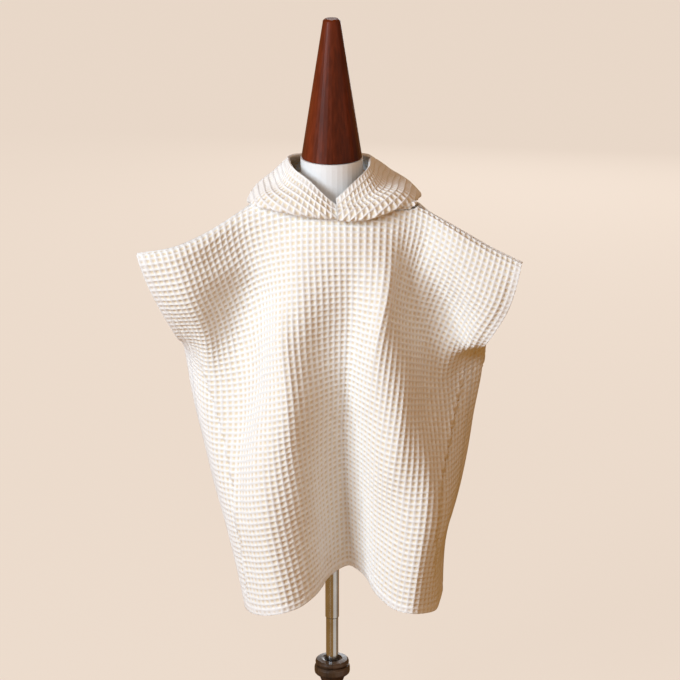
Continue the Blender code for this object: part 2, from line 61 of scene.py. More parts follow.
# plans of the folds, one row for each level below the shoulder, x and y at each fold line
frontSections = {
    0: ((-268, -70), (-218, -72), (-171, -53), (-122, -28), (-74, -34), (-23, -48),
        (30, -50), (84, -42), (131, -48), (174, -70), (218, -86), (260, -98)),
    38: ((-256, -67), (-208, -71), (-164, -56), (-118, -45), (-70, -47), (-22, -58),
         (30, -61), (83, -54), (127, -58), (170, -78), (212, -90), (252, -98)),
    71: ((-244, -62), (-200, -67), (-158, -60), (-113, -53), (-68, -60), (-22, -72),
         (30, -77), (81, -68), (122, -64), (165, -76), (207, -90), (242, -97)),
    142: ((-219, -36), (-180, -42), (-141, -46), (-101, -58), (-64, -76), (-20, -84),
          (28, -86), (76, -96), (110, -72), (148, -58), (186, -62), (213, -74)),
    213: ((-200, 12), (-172, -32), (-134, -56), (-97, -82), (-65, -106), (-21, -88),
          (25, -82), (66, -116), (105, -98), (138, -70), (174, -44), (200, 2)),
    284: ((-192, 10), (-167, -40), (-127, -68), (-96, -104), (-61, -132), (-19, -100),
          (20, -80), (59, -120), (98, -128), (127, -98), (165, -62), (193, -14)),
    355: ((-178, 8), (-164, -46), (-127, -88), (-95, -128), (-57, -130), (-18, -92),
          (16, -66), (51, -111), (91, -147), (129, -130), (160, -86), (184, -38)),
    426: ((-162, 4), (-153, -51), (-127, -102), (-92, -145), (-46, -130), (-15, -82),
          (18, -48), (48, -94), (84, -136), (127, -158), (158, -112), (174, -60)),
    497: ((-142, 2), (-142, -53), (-120, -102), (-84, -145), (-38, -120), (-10, -70),
          (22, -38), (49, -84), (80, -130), (121, -160), (148, -112), (158, -60)),
    575: ((-122, 0), (-133, -53), (-118, -104), (-76, -144), (-32, -116), (-8, -66),
          (25, -34), (52, -76), (77, -124), (116, -154), (149, -110), (156, -57)),
}
backSections = {
    0: ((-268, -70), (-218, -72), (-171, -53), (-122, -28), (-74, 10), (-24, 44),
        (30, 44), (84, 4), (131, -48), (174, -70), (218, -86), (260, -98)),
    38: ((-258, -54), (-210, -48), (-165, -22), (-117, 6), (-69, 38), (-23, 66),
         (31, 66), (83, 36), (128, -10), (170, -40), (213, -64), (252, -82)),
    71: ((-248, -42), (-205, -28), (-161, 2), (-112, 32), (-64, 62), (-22, 80),
         (31, 80), (81, 60), (124, 16), (166, -18), (208, -46), (244, -68)),
    142: ((-220, -24), (-188, 22), (-146, 54), (-104, 82), (-60, 102), (-18, 92),
          (32, 102), (80, 92), (124, 62), (164, 26), (196, -14), (216, -62)),
    213: ((-200, 12), (-196, 50), (-156, 82), (-110, 106), (-62, 118), (-16, 100),
          (34, 110), (82, 122), (126, 106), (170, 78), (202, 38), (200, 2)),
    284: ((-192, 10), (-197, 56), (-164, 100), (-114, 124), (-62, 116), (-18, 84),
          (36, 98), (84, 130), (136, 122), (180, 90), (202, 40), (193, -14)),
    355: ((-178, 8), (-184, 56), (-150, 98), (-98, 120), (-46, 98), (3, 70),
          (50, 98), (98, 124), (146, 107), (184, 68), (197, 15), (184, -38)),
    426: ((-162, 4), (-168, 50), (-136, 94), (-86, 116), (-37, 90), (8, 58),
          (54, 86), (98, 115), (144, 91), (176, 47), (187, -6), (174, -60)),
    497: ((-142, 2), (-150, 52), (-120, 96), (-72, 118), (-28, 86), (10, 48),
          (50, 84), (92, 116), (136, 90), (162, 45), (170, -8), (158, -60)),
    575: ((-122, 0), (-134, 50), (-108, 94), (-63, 112), (-24, 78), (10, 38),
          (46, 76), (84, 112), (124, 94), (148, 48), (158, -4), (156, -57)),
}

hood = {
    "neckLevel": 835, "leftFrom": -5.0, "rightFrom": 5.7, "to": 180.0,
    "seamGap": 0.8, "backGap": 0.9, "stand": 6, "hem": 10.5, "grooveWidth": 1.5,
    "cellsRound": 34, "pointsPerCell": 6, "steps": 216,
    "wave": 0.7, "flattened": 0.15, "mostGathered": 0.7,
}

# hood sections: degrees from the centre front, then reach from the neck's axis and height over
# the neck level at the underside, the roll, the outer face, the top and the face edge
hoodLeftSections = {
    0: ((72, -11), (80, -10), (79, -3), (73, 2), (66, 7)),
    30: ((84, -8), (92, -4), (87, 6), (76, 18), (61, 34)),
    60: ((99, -2), (108, -2), (99, 9), (76, 22), (60, 46)),
    90: ((98, -2), (115, -10), (104, 4), (77, 20), (59, 51)),
    120: ((100, -12), (118, -22), (117, -3), (90, 22), (66, 46)),
    150: ((98, -30), (114, -60), (136, -32), (114, 14), (80, 39)),
    180: ((96, -44), (116, -88), (148, -50), (126, 8), (88, 33)),
}
hoodRightSections = {
    0: ((73, -12), (82, -11), (81, -4), (74, 1), (66, 6)),
    30: ((90, -11), (99, -8), (93, 3), (76, 9), (61, 33)),
    60: ((107, 0), (116, 3), (103, 14), (76, 21), (57, 46)),
    90: ((110, 0), (122, -2), (107, 10), (77, 22), (52, 51)),
    120: ((107, -10), (123, -18), (120, 1), (90, 24), (62, 46)),
    150: ((98, -30), (114, -60), (136, -32), (114, 14), (80, 39)),
    180: ((96, -44), (116, -88), (148, -50), (126, 8), (88, 33)),
}

# the form inside the cloth: height, half width, half depth, how far forward
formSections = (
    (470, 30, 26, 0), (476, 58, 42, 0), (500, 74, 50, 2), (560, 82, 54, 5), (620, 84, 56, 5),
    (690, 88, 56, 3), (740, 90, 50, 0), (775, 84, 42, 0), (798, 68, 40, 0), (814, 52, 41, 0),
    (828, 45, 43, 0), (850, 43.3, 43.3, 0), (888.7, 43.3, 43.3, 0),
)


def smoothBetween(knots, values, at):
    # Catmull-Rom through rows of values, knots at any spacing
    knots, values, at = np.asarray(knots, float), np.asarray(values, float), np.asarray(at, float)
    step = np.diff(knots)
    slope = np.diff(values, axis=0) / step.reshape((-1,) + (1,) * (values.ndim - 1))
    tangent = np.concatenate([slope[:1], (slope[1:] + slope[:-1]) / 2, slope[-1:]])
    left = np.clip(np.searchsorted(knots, at, side="right") - 1, 0, len(knots) - 2)
    shape = (-1,) + (1,) * (values.ndim - 1)
    u = ((at - knots[left]) / step[left]).reshape(shape)
    width = step[left].reshape(shape)
    return (
        (2 * u**3 - 3 * u**2 + 1) * values[left] + (u**3 - 2 * u**2 + u) * width * tangent[left]
        + (3 * u**2 - 2 * u**3) * values[left + 1] + (u**3 - u**2) * width * tangent[left + 1]
    )


def neckCut(across, drop):
    # how deep the neck slit is cut below the shoulder line
    middle = (panel["neckFrom"] + panel["neckTo"]) / 2
    half = (panel["neckTo"] - panel["neckFrom"]) / 2
    return drop * np.clip(1 - ((across - middle) / half) ** 2, 0, 1) ** panel["neckCurve"]


def fallen(plan, down):
    # how far the cloth has fallen, once its length has also covered the way across the plan
    moved = np.linalg.norm(np.diff(plan, axis=0), axis=1)
    length = np.diff(down)
    fall = np.sqrt(np.maximum(length**2 - moved**2, (panel["leastFall"] * length) ** 2))
    return np.concatenate([[0], np.cumsum(fall)])


def hang(sections, drop, outward):
    # plan from the sections, height from the length of cloth between the levels
    across = np.linspace(-panel["width"] / 2, panel["width"] / 2, panel["columns"] + 1)
    shoulder = smoothBetween(foldLines, shoulderHeights, across)
    plans = np.array(list(sections.values()), float)
    plans = np.swapaxes(smoothBetween(foldLines, np.swapaxes(plans, 0, 1), across), 0, 1)
    cut = neckCut(across, drop)
    levels = np.array(list(sections), float)
    points = np.zeros((panel["rows"] + 1, len(across), 3))
    down = np.zeros((panel["rows"] + 1, len(across)))
    share = np.linspace(0, 1, panel["rows"] + 1) ** panel["rowCrowding"]
    fine = np.linspace(0, panel["length"], panel["traceSteps"])
    rounding = outward * panel["ridgeRound"] * (1 - np.exp(-fine / panel["ridgeRound"]))
    rounding = rounding * np.exp(-fine / panel["roundFade"])
    for column in range(len(across)):
        plan = smoothBetween(levels, plans[:, column], fine)
        plan[:, 1] += rounding
        height = shoulder[column] - fallen(plan, fine)
        down[:, column] = cut[column] + (panel["length"] - cut[column]) * share
        for axis, track in enumerate((plan[:, 0], plan[:, 1], height)):
            points[:, column, axis] = np.interp(down[:, column], fine, track)
    return points, across, down


def keepOffForm(points):
    # the form's oval at each height, grown by the clearance, pushes out what comes inside it
    height, wide, deep, forward = (np.array(c, float) for c in zip(*formSections))
    z = points[..., 2]
    a = np.interp(z, height, wide) + panel["formClearance"]
    b = np.interp(z, height, deep) + panel["formClearance"]
    middle = -np.interp(z, height, forward)
    x, y = points[..., 0], points[..., 1] - middle
    reach = np.sqrt((x / a) ** 2 + (y / b) ** 2)
    inside = (reach < 1) & (z > height[0] - 5)
    grow = np.where(inside, 1 / np.maximum(reach, 0.2), 1)
    points[..., 0], points[..., 1] = x * grow, y * grow + middle


def settle(points, across, down, held, drawn):
    # free points move until neighbours lie as far apart as in the flat cloth
    flat = np.stack([np.broadcast_to(across, down.shape), down], axis=-1)
    first, last, every = slice(None, -1), slice(1, None), slice(None)
    links = [
        ((every, first), (every, last), 1.0), ((first, every), (last, every), 1.0),
        ((first, first), (last, last), panel["diagonals"]),
        ((first, last), (last, first), panel["diagonals"]),
    ]
    free = (~held)[..., None]
    eased = np.exp(-down / panel["neckEase"])[..., None]
    rests = []
    for a, b, _ in links:
        rest = np.linalg.norm(flat[b] - flat[a], axis=-1, keepdims=True)
        asDrawn = np.linalg.norm(drawn[b] - drawn[a], axis=-1, keepdims=True)
        rests.append(rest + (asDrawn - rest) * eased[a])
    for _ in range(panel["rounds"]):
        push = np.zeros_like(points)
        weight = np.zeros(points.shape[:2] + (1,))
        for (a, b, stiffness), rest in zip(links, rests):
            reach = points[b] - points[a]
            length = np.linalg.norm(reach, axis=-1, keepdims=True)
            move = 0.5 * stiffness * (length - rest) / length * reach
            push[a] += move
            push[b] -= move
            weight[a] += stiffness
            weight[b] += stiffness
        points += np.where(free, panel["haste"] * push / weight, 0)
        keepOffForm(points)


def soften(points, held, drawn):
    # the moves away from the drawn shape are evened, so the folds stay smooth
    for _ in range(panel["softenRounds"]):
        moved = points - drawn
        wide = np.pad(moved, ((1, 1), (1, 1), (0, 0)), mode="edge")
        around = (wide[:-2, 1:-1] + wide[2:, 1:-1] + wide[1:-1, :-2] + wide[1:-1, 2:]) / 4
        points += np.where(held[..., None], 0, panel["softenShare"] * (around - moved))


def keepClear(points, other, way, free):
    # free points that come too near the other panel are pushed off it
    rows, columns = other.shape[:2]
    corner = np.arange(rows * columns).reshape(rows, columns)
    quads = np.stack([corner[:-1, :-1], corner[:-1, 1:], corner[1:, 1:], corner[1:, :-1]], axis=-1)
    surface = BVHTree.FromPolygons(other.reshape(-1, 3).tolist(), quads.reshape(-1, 4).tolist())
    for place in zip(*np.nonzero(free)):
        near, normal, _, reach = surface.find_nearest(points[place])
        if reach > 6 * panel["clearance"]:
            continue
        apart = way * (points[place] - np.array(near)) @ np.array(normal)
        if apart < panel["clearance"]:
            missing = panel["clearance"] - apart
            points[place] += panel["clearShare"] * way * missing * np.array(normal)


def laySeams(points, down):
    # both panels take the same line down each side below the arm opening
    fine = np.linspace(0, panel["length"], panel["traceSteps"])
    levels = np.array(list(frontSections), float)
    for side in (0, -1):
        plan = smoothBetween(levels, [row[side] for row in frontSections.values()], fine)
        track = np.column_stack([plan, shoulderHeights[side] - fallen(plan, fine)])
        below = down[:, side] > panel["armOpening"]
        for axis in range(3):
            points[below, side, axis] = np.interp(down[below, side], fine, track[:, axis])


def seamShift(seam, mine, theirs):
    # how far an edge steps back along its panel, so that two walls meet at the seam with a gap
    along = np.gradient(seam, axis=0)
    along /= np.linalg.norm(along, axis=1, keepdims=True)
    ways = []
    for sheet in (mine, theirs):
        way = sheet - seam
        way -= (way * along).sum(axis=1, keepdims=True) * along
        ways.append(way / np.linalg.norm(way, axis=1, keepdims=True))
    angle = np.arccos(np.clip((ways[0] * ways[1]).sum(axis=1), -1, 1))
    reach = panel["wall"] / 2 / np.tan(np.maximum(angle / 2, math.radians(panel["sharpestSeam"])))
    wide = np.pad(reach, 1, mode="edge")
    reach = np.maximum(np.maximum(wide[:-2], wide[2:]), reach)
    return ways[0] * (reach + panel["seamGap"])[:, None]


def pullBackSeams(points, other, down):
    pulled = points.copy()
    sewn = down[:, 0] > panel["armOpening"]
    for side, inward in ((0, 1), (-1, -2)):
        shift = seamShift(points[:, side], points[:, inward], other[:, inward])
        pulled[sewn, side] += shift[sewn]
    sewn = down[0] < 1e-3
    pulled[0, sewn] += seamShift(points[0], points[1], other[1])[sewn]
    return pulled


def makePanels():
    front, across, down = hang(frontSections, panel["frontNeckDrop"], -1)
    back, _, backDown = hang(backSections, panel["backNeckDrop"], 1)
    sewn = down[0] < 1e-3
    front[0, sewn] = back[0, sewn] = (front[0, sewn] + back[0, sewn]) / 2
    panels = [(front, down), (back, backDown)]
    held, drawn = [], []
    for points, levels in panels:
        drawn.append(points.copy())
        laySeams(points, levels)
        fixed = np.zeros(points.shape[:2], bool)
        fixed[0] = fixed[:, 0] = fixed[:, -1] = True
        held.append(fixed)
    for _ in range(panel["passes"]):
        for (points, levels), fixed, asDrawn in zip(panels, held, drawn):
            settle(points, across, levels, fixed, asDrawn)
        keepClear(front, back, -1, ~held[0])
        keepClear(back, front, 1, ~held[1])
        for (points, _), fixed, asDrawn in zip(panels, held, drawn):
            soften(points, fixed, asDrawn)
    return (
        (pullBackSeams(front, back, down), down),
        (pullBackSeams(back, front, backDown), backDown),
    )


def neckSeam(front, back, side, share):
    # the edge of the neck slit on one side, from the centre front round to the centre back
    halves = []
    for points, down in (front, back):
        cut = (down[0] > 0) & (points[0, :, 0] * side > 4)
        rise = points[0, cut] - points[1, cut]
        half = np.hstack([points[0, cut], rise / np.linalg.norm(rise, axis=1, keepdims=True)])
        halves.append(half[np.argsort(half[:, 0] * side)])
    track = np.concatenate([halves[0], halves[1][::-1]])
    step = np.linalg.norm(np.diff(track[:, :3], axis=0), axis=1)
    along = np.concatenate([[0], np.cumsum(step)])
    track = np.column_stack([np.interp(share * along[-1], along, axis) for axis in track.T])
    return track[:, :3], track[:, 3:]


def makeHoodHalf(sections, side, begin, panels, columns, steps):
    # stands up from the neck seam, then follows the rolled sections
    angles = np.linspace(begin, hood["to"], columns)
    table = smoothBetween(list(sections), np.array(list(sections.values()), float), angles)
    edge, rise = neckSeam(*panels, side, np.linspace(0, 1, columns))
    points = np.zeros((steps + 1, columns, 3))
    for column, angle in enumerate(np.radians(angles)):
        reach, height = table[column].T
        out = np.array([side * math.sin(angle), -math.cos(angle), 0])
        rolled = reach[:, None] * out + np.outer(hood["neckLevel"] + height, (0, 0, 1))
        start = edge[column] + hood["seamGap"] * rise[column]
        stand = edge[column] + hood["stand"] * (rise[column] + (0, 0, 1)) / 2
        knots = np.vstack([start, stand, stand + hood["stand"] * (out + (0, 0, 0.3)), rolled])
        along = np.cumsum(np.linalg.norm(np.diff(knots, axis=0, prepend=knots[:1]), axis=1))
        points[:, column] = smoothBetween(along, knots, np.linspace(0, along[-1], steps + 1))
    points[:, -1, 0] = side * hood["backGap"] / 2
    return points


# weave and hems, laid over the hanging shape
weave = {
    "cellsAcross": 66, "cellsDown": 71, "pointsPerCell": 4, "straightBelow": 90,
    "relief": 2.9, "ridgeShare": 0.66,        # from the pit's floor to the top of a ridge
    "innerRelief": 0.6, "innerRidgeShare": 0.4, "pitSquareness": 1.7,
    "hemWidth": 11.0, "hemBlend": 1.5, "hemLift": 0.7, "hemFlattens": 0.45,
    "stitchGroove": 0.7, "grooveWidth": 1.6,
    "creasesFrom": 12, "creasesFull": 50, "sideFrom": 4, "sideFull": 26,
}

# soft creases: from (across, down) to (across, down) on the flat panel, half width, height
frontCreases = (
    (-262, 26, -120, 96, 15, 1.6), (-236, 74, -96, 150, 13, -1.5), (-214, 122, -110, 196, 12, 1.2),
    (-196, 172, -132, 262, 14, -1.4), (-92, 60, -70, 210, 16, -1.4), (-44, 44, -40, 190, 15, 1.2),
    (22, 60, 18, 250, 17, -1.2), (66, 56, 76, 210, 13, 1.3), (98, 62, 104, 190, 11, -1.8),
    (126, 46, 190, 156, 14, 1.5), (164, 60, 246, 168, 13, -1.3), (214, 40, 272, 120, 14, 1.2),
    (148, 190, 188, 320, 13, 1.3), (-150, 300, -120, 470, 17, 1.2), (-18, 330, -8, 520, 16, -1.3),
    (44, 360, 52, 540, 14, 1.2), (118, 400, 128, 556, 15, -1.1), (178, 300, 204, 470, 12, 1.3),
    (-206, 290, -184, 450, 12, -1.2), (-84, 440, -70, 560, 15, -1.0),
)
backCreases = (
    (-256, 40, -130, 110, 15, 1.5), (-222, 96, -118, 180, 13, -1.4), (-180, 150, -128, 270, 14, 1.3),
    (-88, 62, -84, 220, 15, -1.4), (-34, 50, -30, 200, 16, 1.2), (28, 70, 32, 240, 15, -1.3),
    (86, 60, 92, 230, 14, 1.3), (134, 60, 214, 158, 14, -1.4), (186, 70, 262, 150, 13, 1.3),
    (-150, 300, -140, 470, 16, -1.2), (-60, 320, -52, 520, 15, 1.2), (40, 340, 46, 530, 16, 1.2),
    (110, 330, 118, 500, 14, -1.3), (186, 280, 200, 460, 13, 1.2), (-214, 280, -206, 440, 12, 1.2),
)
creaseShape = {"bend": 5, "roundness": 0.6, "swell": 0.5}

# where the cloth folds over itself: points (across, down), the overlapping side, lift and drop
frontFolds = (
    (((-268, 196), (-250, 233), (-234, 288), (-218, 340),
      (-205, 387), (-200, 468), (-208, 530), (-222, 575)), -1, 3.0, 7.5),
    (((294, 200), (284, 253), (257, 300), (243, 336),
      (220, 383), (216, 456), (230, 510), (246, 545)), 1, 2.6, 7.0),
)
backFolds = (
    (((-262, 216), (-240, 268), (-222, 340), (-214, 430), (-220, 520)), -1, 1.8, 3.4),
    (((270, 216), (246, 276), (226, 350), (220, 440), (228, 520)), 1, 1.8, 3.4),
)
foldShape = {"edgeWidth": 13, "dipWidth": 11, "turn": 1.6, "startFade": 40, "endFade": 60}


def foldHeights(u, v, folds):
    # one edge stands proud and the cloth beyond it dips under
    height = np.zeros_like(u)
    for places, side, lift, drop in folds:
        places = np.array(places, float)
        line = np.interp(v, places[:, 1], places[:, 0])
        away = (u - line) * side
        proud = lift * np.exp(-((np.minimum(away, 0) / foldShape["edgeWidth"]) ** 2))
        under = -drop * np.exp(-np.maximum(away, 0) / foldShape["dipWidth"])
        turn = softStep(away, -foldShape["turn"], foldShape["turn"])
        ends = softStep(v, places[0, 1], places[0, 1] + foldShape["startFade"])
        ends = ends * softStep(places[-1, 1] - v, -1, foldShape["endFade"])
        height += ((1 - turn) * proud + turn * under) * ends
    return height


def creaseHeights(u, v, creases):
    height = np.zeros_like(u)
    for u0, v0, u1, v1, half, tall in creases:
        runU, runV = u1 - u0, v1 - v0
        length = math.hypot(runU, runV)
        t = np.clip(((u - u0) * runU + (v - v0) * runV) / length**2, 0, 1)
        bend = creaseShape["bend"] * np.sin(2.6 * t + u0)       # a crease is never quite straight
        away = ((u - u0) * runV - (v - v0) * runU) / length + bend
        beyond = np.hypot(u - u0 - t * runU, v - v0 - t * runV)
        near = np.where((t <= 0) | (t >= 1), np.maximum(beyond, np.abs(away)), np.abs(away))
        along = np.sin(math.pi * np.clip(t, 0.04, 0.96)) ** creaseShape["roundness"]
        height += tall * np.exp(-((near / half) ** 2)) * along
    # slow uneven swell of soft cloth
    height += creaseShape["swell"] * np.sin(u / 37 + 1.3 * np.sin(v / 71)) * np.sin(v / 53 + 0.8)
    return height


def waffle(a, b):
    # 0 on the ridges between cells, 1 at the middle of a pit
    across = 1 - np.abs(2 * (a - np.floor(a)) - 1)
    down = 1 - np.abs(2 * (b - np.floor(b)) - 1)
    return 1 - (1 - np.minimum(across, down)) ** weave["pitSquareness"]


def normalsOf(points):
    alongRow = np.gradient(points, axis=1)
    alongColumn = np.gradient(points, axis=0)
    normal = np.cross(alongRow, alongColumn)
    return normal / np.maximum(np.linalg.norm(normal, axis=-1, keepdims=True), 1e-9)


def fineSheet(points, across, down, fineAcross, fineDown):
    # the hanging shape at every point of the weave
    wide = np.swapaxes(smoothBetween(across, np.swapaxes(points, 0, 1), fineAcross), 0, 1)
    knots = np.swapaxes(smoothBetween(across, down.T, fineAcross), 0, 1)
    fine = np.zeros(fineDown.shape + (3,))
    for column in range(len(fineAcross)):
        fine[:, column] = smoothBetween(knots[:, column], wide[:, column], fineDown[:, column])
    return fine


def skins(middle, sign, cellU, cellV, hemShare, groove, gathered=0.0):
    # outer and inner faces of the wall, with the waffle pressed into both
    normal = normalsOf(middle) * sign
    pit = waffle(cellU, cellV)
    flatten = (1 - weave["hemFlattens"] * hemShare) * (1 - gathered)
    relief = weave["relief"] * flatten * (weave["ridgeShare"] - pit)
    half = panel["wall"] / 2 + weave["hemLift"] * hemShare - weave["stitchGroove"] * groove
    outer = middle + normal * (half + relief)[..., None]
    innerPit = waffle(cellU + 0.5, cellV + 0.5)
    opposite = weave["relief"] * weave["innerRelief"] * flatten * (innerPit - weave["innerRidgeShare"])
    inner = middle - normal * (half - opposite)[..., None]
    return outer, inner


def clothMesh(name, outer, inner, cellU, cellV, hemShare, sign, material):
    # a closed thin shell: a fine outer skin, an inner one with half as many points
    rows, columns = outer.shape[:2]
    coarse = (slice(None, None, 2), slice(None, None, 2))
    inner = inner[coarse]
    innerRows, innerColumns = inner.shape[:2]
    outerIndex = np.arange(rows * columns).reshape(rows, columns)
    innerIndex = rows * columns + np.arange(innerRows * innerColumns).reshape(innerRows, innerColumns)

    def quadsOf(index):
        corners = [index[:-1, :-1], index[:-1, 1:], index[1:, 1:], index[1:, :-1]]
        return np.stack(corners, axis=-1).reshape(-1, 4)

    def border(index):
        return np.concatenate([index[0, :-1], index[:-1, -1], index[-1, :0:-1], index[:0:-1, 0]])

    outerEdge, innerEdge = border(outerIndex), border(innerIndex)
    faces = quadsOf(outerIndex).tolist() + quadsOf(innerIndex)[:, ::-1].tolist()
    for k in range(len(innerEdge)):
        o0, o1 = outerEdge[2 * k], outerEdge[2 * k + 1]
        o2 = outerEdge[(2 * k + 2) % len(outerEdge)]
        i0, i1 = innerEdge[k], innerEdge[(k + 1) % len(innerEdge)]
        faces += [[o1, o0, i0], [i1, o1, i0], [o2, o1, i1]]
    if sign < 0:
        faces = [face[::-1] for face in faces]
    points = np.concatenate([outer.reshape(-1, 3), inner.reshape(-1, 3)]) * mm
    mesh = bpy.data.meshes.new(name)
    mesh.from_pydata(points.tolist(), [], faces)
    mesh.materials.append(material)
    mesh.shade_smooth()

    cells = np.stack([cellU, cellV], axis=-1)
    perPoint = np.concatenate([cells.reshape(-1, 2), cells[coarse].reshape(-1, 2) + 0.5])
    corner = np.zeros(len(mesh.loops), np.int32)
    mesh.loops.foreach_get("vertex_index", corner)
    layer = mesh.uv_layers.new(name="weave")
    layer.data.foreach_set("uv", perPoint[corner].astype(np.float32).ravel())
    hems = mesh.attributes.new("hem", "FLOAT", "POINT")
    shares = np.concatenate([hemShare.ravel(), hemShare[coarse].ravel()])
    hems.data.foreach_set("value", shares.astype(np.float32))

    piece = bpy.data.objects.new(name, mesh)
    bpy.context.scene.collection.objects.link(piece)
    return piece


def softStep(x, low, high):
    t = np.clip((x - low) / (high - low), 0, 1)
    return t * t * (3 - 2 * t)


def buildPanel(name, points, down, drop, sign, creases, folds, material):
    count = weave["pointsPerCell"]
    across = np.linspace(-panel["width"] / 2, panel["width"] / 2, panel["columns"] + 1)
    fineAcross = np.linspace(-panel["width"] / 2, panel["width"] / 2, weave["cellsAcross"] * count + 1)
    level = np.linspace(0, panel["length"], weave["cellsDown"] * count + 1)[:, None]
    cut = neckCut(fineAcross, drop)[None, :]
    fineDown = level + cut * np.clip(1 - level / weave["straightBelow"], 0, 1) ** 2
    middle = fineSheet(points, across, down, fineAcross, fineDown)
    u = np.broadcast_to(fineAcross, fineDown.shape)
    fade = softStep(fineDown, weave["creasesFrom"], weave["creasesFull"])
    fade = fade * softStep(panel["width"] / 2 - np.abs(u), weave["sideFrom"], weave["sideFull"])
    heights = (creaseHeights(u, fineDown, creases) + foldHeights(u, fineDown, folds)) * fade
    middle = middle + normalsOf(middle) * sign * heights[..., None]
    cellU = (u + panel["width"] / 2) * weave["cellsAcross"] / panel["width"]
    cellV = fineDown * weave["cellsDown"] / panel["length"]
    fromFoot = panel["length"] - fineDown
    fromSide = np.where(fineDown < panel["armOpening"] + 4, panel["width"] / 2 - np.abs(u), 1e3)
    fromEdge = np.minimum(fromFoot, fromSide)
    width = weave["hemWidth"]
    hemShare = 1 - softStep(fromEdge, width - weave["hemBlend"], width + weave["hemBlend"])
    groove = np.exp(-(((fromEdge - width) / weave["grooveWidth"]) ** 2))
    outer, inner = skins(middle, sign, cellU, cellV, hemShare, groove)
    piece = clothMesh(name, outer, inner, cellU, cellV, hemShare, sign, material)
    return piece, outer, fineAcross, fineDown


def buildHoodHalf(name, sections, side, begin, panels, material):
    columns, steps = hood["cellsRound"] * hood["pointsPerCell"] + 1, hood["steps"]
    middle = makeHoodHalf(sections, side, begin, panels, columns, steps)
    step = np.linalg.norm(np.diff(middle, axis=0), axis=-1)
    fromEdge = np.concatenate([np.cumsum(step[::-1], axis=0)[::-1], np.zeros((1, columns))])
    cell = panel["width"] / weave["cellsAcross"]
    cellU = np.broadcast_to(np.linspace(0, hood["cellsRound"], columns), fromEdge.shape)
    cellV = fromEdge / cell
    wave = hood["wave"] * np.sin(cellU * 0.9 + 0.4 * side) * np.sin(fromEdge / 23 + 0.6)
    ends = softStep(cellU, 0.5, 3) * softStep(hood["cellsRound"] - cellU, 0.3, 2.5)
    middle = middle + normalsOf(middle) * side * (wave * ends * softStep(fromEdge, 0, 20))[..., None]
    hemShare = 1 - softStep(fromEdge, hood["hem"] - weave["hemBlend"], hood["hem"] + weave["hemBlend"])
    groove = np.exp(-(((fromEdge - hood["hem"]) / hood["grooveWidth"]) ** 2))
    width = np.linalg.norm(np.gradient(middle, axis=1), axis=-1) * (columns - 1) / hood["cellsRound"]
    gathered = np.clip(1 - width / cell, 0, hood["mostGathered"])      # cells pressed narrow lie flatter
    flatter = hood["flattened"] + (1 - hood["flattened"]) * gathered
    outer, inner = skins(middle, side, cellU, cellV, hemShare, groove, flatter)
    # the hem attribute also makes the shader's pits shallower, with less painted pit shade
    flat = np.maximum(hemShare, gathered)
    return clothMesh(name, outer, inner, cellU, cellV, flat, side, material), outer, fromEdge


def newMaterial(name):
    material = bpy.data.materials.new(name)
    material.use_nodes = True
    return material, material.node_tree, material.node_tree.nodes["Principled BSDF"]


def mathNode(tree, kind, a, b=None):
    node = tree.nodes.new("ShaderNodeMath")
    node.operation = kind
    for socket, value in zip(node.inputs, (a, b)):
        if isinstance(value, (int, float)):
            socket.default_value = value
        elif value is not None:
            tree.links.new(value, socket)
    return node.outputs[0]


def noiseNode(tree, vector, scale, detail=3.0, roughness=0.55):
    node = tree.nodes.new("ShaderNodeTexNoise")
    node.inputs["Scale"].default_value = scale
    node.inputs["Detail"].default_value = detail
    node.inputs["Roughness"].default_value = roughness
    tree.links.new(vector, node.inputs["Vector"])
    return node.outputs[0]


def rampNode(tree, factor, stops):
    node = tree.nodes.new("ShaderNodeValToRGB")
    band = node.color_ramp
    while len(band.elements) < len(stops):
        band.elements.new(0.5)
    for element, (place, colour) in zip(band.elements, stops):
        element.position = place
        element.color = (*colour, 1.0)
    tree.links.new(factor, node.inputs[0])
    return node.outputs[0]


def bumpNode(tree, height, strength, distance, under=None):
    node = tree.nodes.new("ShaderNodeBump")
    node.inputs["Strength"].default_value = strength
    node.inputs["Distance"].default_value = distance
    tree.links.new(height, node.inputs["Height"])
    if under is not None:
        tree.links.new(under, node.inputs["Normal"])
    return node.outputs[0]


# ridge is the cotton's own colour; slope and pit are painted shade, darker and warmer down into the
# waffle's pits
cotton = {
    "ridge": (0.925, 0.925, 0.915), "slope": (0.90, 0.89, 0.865), "pit": (0.80, 0.70, 0.53),
    "ridgeTo": 0.06, "slopeShadeAt": 0.30, "pitShadeFrom": 0.66,
    "unevenSize": 160.0, "uneven": 0.22,
    "threadsPerCell": 9.0, "fluffSize": 1400.0, "threadDepth": 0.00022, "pitDepth": 0.0012,
    "hemShallowerPits": 0.4, "roughness": 0.92, "sheen": 0.18, "sheenRoughness": 0.6, "specular": 0.25,
}


